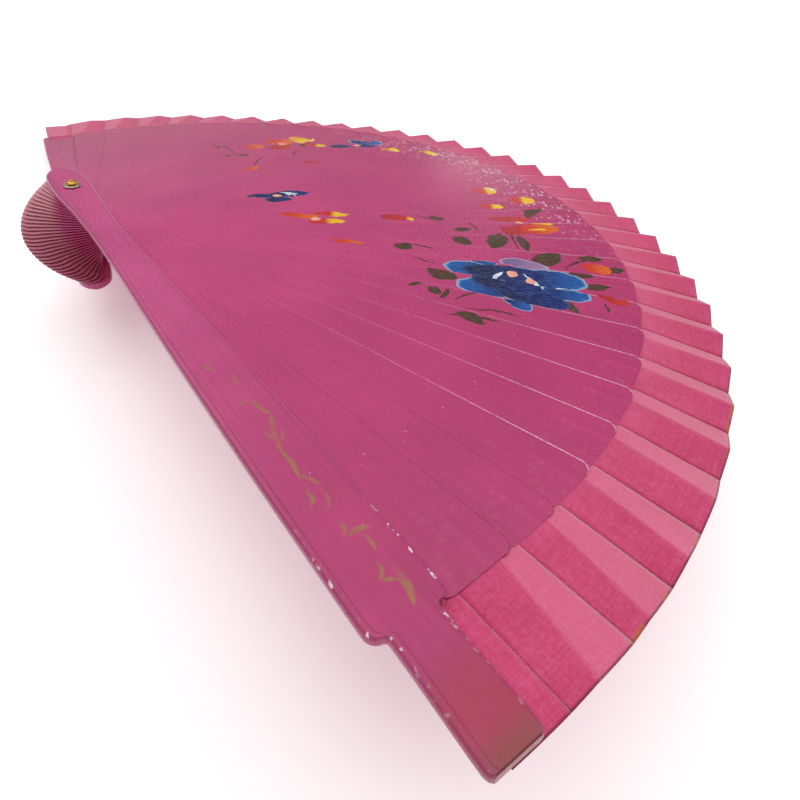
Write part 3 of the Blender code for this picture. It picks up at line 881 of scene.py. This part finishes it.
def lathe(name, profile, finish, steps=64):
    """A closed body turned about the rivet's axis. The profile runs (radius, height); radius 0 closes an end."""
    points, rings = [], []
    for radius, height in profile:
        if radius == 0.0:
            rings.append([len(points)] * steps)
            points.append((0.0, 0.0, height * MM))
            continue
        rings.append([len(points) + i for i in range(steps)])
        points += ring(radius * MM, height * MM, steps)
    if profile[0][0] != 0.0:
        rings.append(rings[0])
    faces = []
    for low, high in zip(rings, rings[1:]):
        for i in range(steps):
            j = (i + 1) % steps
            corners = dict.fromkeys((low[i], low[j], high[j], high[i]))
            if len(corners) > 2:
                faces.append(tuple(corners))
    obj = new_object(name, points, faces, [finish])
    outward(obj)
    sharp = obj.modifiers.new("sharp_rims", "EDGE_SPLIT")
    sharp.split_angle = math.radians(50)
    return obj


# (radius, height) in millimetres: the rivet's rolled head down from its top, and a washer up from its underside
RIVET_HEAD = [(0.0, -0.42), (0.3, -0.42), (0.48, -0.34), (0.6, -0.12), (0.74, -0.02), (0.9, 0.0), (1.15, -0.03),
              (1.45, -0.14), (1.7, -0.32), (1.84, -0.52), (1.9, -0.7), (1.86, -0.84), (1.76, -0.9), (1.0, -0.9)]
WASHER = [(1.3, 0.06), (1.36, 0.0), (2.44, 0.0), (2.55, 0.06), (2.6, 0.16), (2.6, 0.24), (2.55, 0.34), (2.44, 0.4),
          (1.36, 0.4), (1.3, 0.34)]


def make_rivet():
    """A hollow brass rivet rolled over at both ends, on a pale washer each side."""
    low = (top_at_pivot(FAR_GUARD) - GUARD_T) / MM - 1.0
    under = [(r, low - 0.9 - z) for r, z in reversed(RIVET_HEAD)]
    rivet = lathe("rivet_brass", RIVET_HEAD + under, metal("brass", shade(222, 170, 84), shade(150, 104, 48), 3.0))
    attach(rivet, "near_guard")
    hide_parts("rivet")
    pale = metal("washer_nickel", shade(226, 212, 196), shade(168, 148, 128), 4.0)
    top = GUARD_TOP / MM + 0.3
    base = (top_at_pivot(FAR_GUARD) - GUARD_T) / MM - 0.7
    for name, node, bottom in (("washer_top", "washer_near", top), ("washer_under", "washer_far", base)):
        washer = lathe(name, [(r, bottom + z) for r, z in WASHER], pale)
        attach(washer, "near_guard")
        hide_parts(node)


# ---------------------------------------------------------------- cloth

leaf_paint = leaf_cloth()


def cloth_strip(name, lines, cells, rows=25):
    """A thin cloth strip, and its developed widths in millimetres at the tucked edge and at the rim.

    lines(radius) gives (angle, height) for each crease, and cells says how many columns lie between two of them.
    """
    radii = np.concatenate([[TUCK_R], np.linspace(CLOTH_INNER_R, LEAF_R, rows - 1)])
    grid = []
    for radius in radii:
        tucked = TUCK_DEPTH if radius < CLOTH_INNER_R else 0.0
        marks = [(angle, height - tucked) for angle, height in lines(radius)]
        row = []
        for count, (a0, z0), (a1, z1) in zip(cells, marks, marks[1:]):
            for part in (j / count for j in range(count)):
                row.append(polar(radius, a0 + (a1 - a0) * part, z0 + (z1 - z0) * part))
        row.append(polar(radius, *marks[-1]))
        grid.append(row)
    across = len(grid[0])
    faces = []
    for i in range(rows - 1):
        for j in range(across - 1):
            a = i * across + j
            faces.append((a, a + across, a + across + 1, a + 1))
    obj = new_object(name, [point for row in grid for point in row], faces, [leaf_paint])
    weave = []
    for radius, row in zip(radii, grid):
        run = 0.0
        for j, point in enumerate(row):
            if j:
                run += (Vector(point) - Vector(row[j - 1])).length / MM
            weave.append((float(radius - TUCK_R) / MM, run, float(LEAF_R - radius) / MM))
    store(obj, "weave", weave)
    # 1 past the ridge, on the facet that faces the light, which the material makes paler as painted light
    pale = [float(len(cells) > 1 and j > cells[0]) for _ in range(rows) for j in range(across)]
    store(obj, "facet", np.repeat(pale, 3))
    return obj, [weave[across - 1][1], weave[-1][1]]


def creases_of(k, radius):
    """The (angle, height) of each line that pleat k runs through: valley, ridge, valley on all but the two ends."""
    if k == 0:
        under = plane_height(0, radius) - GUARD_T - 1.2 * GAP
        return [(NEAR_GUARD_AT - 0.3, under), crease(0, radius, True)]
    if k == FAR_GUARD:
        over = plane_height(FAR_GUARD, radius) + 0.45 * MM
        meets = ANGLES[FAR_GUARD] - math.degrees(5.9 * MM / radius)
        return [crease(FAR_GUARD - 1, radius, True), (meets, over), (ANGLES[FAR_GUARD] + 1.4, over)]
    return [crease(k - 1, radius, True), crease(k, radius, False), crease(k, radius, True)]


def make_pleat(k):
    """Stick k's pleat: its dark facet, glued over the rib, and the pale one that falls to the next valley."""
    obj, widths = cloth_strip(f"pleat_{k:02d}", lambda radius: creases_of(k, radius), [8, 8] if k else [12])
    solid = obj.modifiers.new("cloth_thickness", "SOLIDIFY")
    solid.thickness = CLOTH_T
    solid.offset = -1.0
    apply_modifiers(obj)
    outward(obj)
    if k == FAR_GUARD:
        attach(obj, body_name(k))
    else:
        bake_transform(obj)
    panel = max(1, (k + 1) // 2)
    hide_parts(f"leaf_{panel:02d}")


# ---------------------------------------------------------------- the stage

# how bright the room is at each height, from the horizon at 0 to straight up at 1
SKY = [(0.0, 0.62), (0.1, 0.45), (0.2, 0.22), (0.38, 0.05), (0.6, 0.1), (0.8, 0.75), (1.0, 1.0)]
SKY_GAIN = 1.6
LAMPS = [
    # name, place, what it points at, size, power
    ("low_window", (-0.84, 0.90, 0.22), (-0.02, 0.17, -0.03), 0.22, 0.22),
    ("left_softbox", (-0.85, -0.20, 1.00), (0.0, 0.1, -0.02), 0.6, 2.6),
    ("back_softbox", (0.35, 1.05, 0.75), (0.05, 0.1, -0.02), 0.6, 2.6),
]
FLOOR_HALF = 1.6
FLOOR_GAP = 0.2 * MM

# the camera's direction in degrees, the point it looks at and how far it is from there
AZIMUTH, ELEVATION, ROLL = -37.386, 34.882, 5.994
AIM = (0.12690, 0.06122, GUARD_TOP)
DISTANCE = 0.16336
LENS, SENSOR = 29.5216, 36.0
SHIFT = (-0.0514, -0.0796)
CLIP_START = 0.005


def make_floor():
    height = cad_low[2] - FLOOR_GAP
    corners = [(x * FLOOR_HALF, y * FLOOR_HALF, height) for x, y in ((-1, -1), (1, -1), (1, 1), (-1, 1))]
    new_object("floor", corners, [(0, 1, 2, 3)], [floor_paper()])


def make_sky():
    """White light from the whole room, dark in a band between the horizon and the ceiling."""
    world = bpy.context.scene.world or bpy.data.worlds.new("studio")
    bpy.context.scene.world = world
    world.use_nodes = True
    nodes, links = world.node_tree.nodes, world.node_tree.links
    where = nodes.new("ShaderNodeTexCoord")
    parts = nodes.new("ShaderNodeSeparateXYZ")
    links.new(where.outputs["Generated"], parts.inputs[0])
    ramp = nodes.new("ShaderNodeValToRGB")
    stops = ramp.color_ramp.elements
    stops[0].position, stops[1].position = SKY[0][0], SKY[-1][0]
    for height, _ in SKY[1:-1]:
        stops.new(height)
    for stop, (_, level) in zip(stops, SKY):
        stop.color = (level, level, level, 1.0)
    links.new(parts.outputs["Z"], ramp.inputs[0])
    gain = nodes.new("ShaderNodeMath")
    gain.operation = "MULTIPLY"
    gain.inputs[1].default_value = SKY_GAIN
    links.new(ramp.outputs[0], gain.inputs[0])
    links.new(gain.outputs[0], nodes["Background"].inputs["Strength"])
    nodes["Background"].inputs["Color"].default_value = (1.0, 1.0, 1.0, 1)


def make_lamps():
    for name, at, aim, size, power in LAMPS:
        lamp = bpy.data.lights.new(name, "AREA")
        lamp.energy = power
        lamp.size = size
        holder = bpy.data.objects.new(name, lamp)
        holder.location = at
        holder.rotation_euler = (Vector(aim) - Vector(at)).to_track_quat("-Z", "Y").to_euler()
        bpy.context.scene.collection.objects.link(holder)


def make_camera():
    """The camera stands close, over the near guard's tip, looking across the fan towards the rivet."""
    azimuth, elevation, roll = (math.radians(angle) for angle in (AZIMUTH, ELEVATION, ROLL))
    back = Vector((math.cos(elevation) * math.cos(azimuth), math.cos(elevation) * math.sin(azimuth),
                   math.sin(elevation)))
    right = (-back).cross(Vector((0, 0, 1))).normalized()
    up = right.cross(-back)
    across = math.cos(roll) * right + math.sin(roll) * up
    upward = -math.sin(roll) * right + math.cos(roll) * up
    camera = bpy.data.cameras.new("camera")
    camera.lens = LENS
    camera.sensor_width = SENSOR
    camera.shift_x, camera.shift_y = SHIFT
    camera.clip_start = CLIP_START
    holder = bpy.data.objects.new("camera", camera)
    turned = Matrix((across, upward, back)).transposed()
    holder.matrix_world = Matrix.Translation(Vector(AIM) + DISTANCE * back) @ turned.to_4x4()
    bpy.context.scene.collection.objects.link(holder)
    bpy.context.scene.camera = holder


def main():
    bpy.context.scene.view_settings.view_transform = "Standard"
    make_floor()
    make_sky()
    make_lamps()
    make_camera()
    cutter = make_cutter()
    for k in range(1, FAR_GUARD):
        blade = make_stick(k, cutter)
        make_rib(k, blade.data.materials[0])
    for k in (0, FAR_GUARD):
        make_guard(k, cutter)
    bpy.data.objects.remove(cutter, do_unlink=True)
    for k in range(FAR_GUARD + 1):
        make_pleat(k)
    make_rivet()


main()
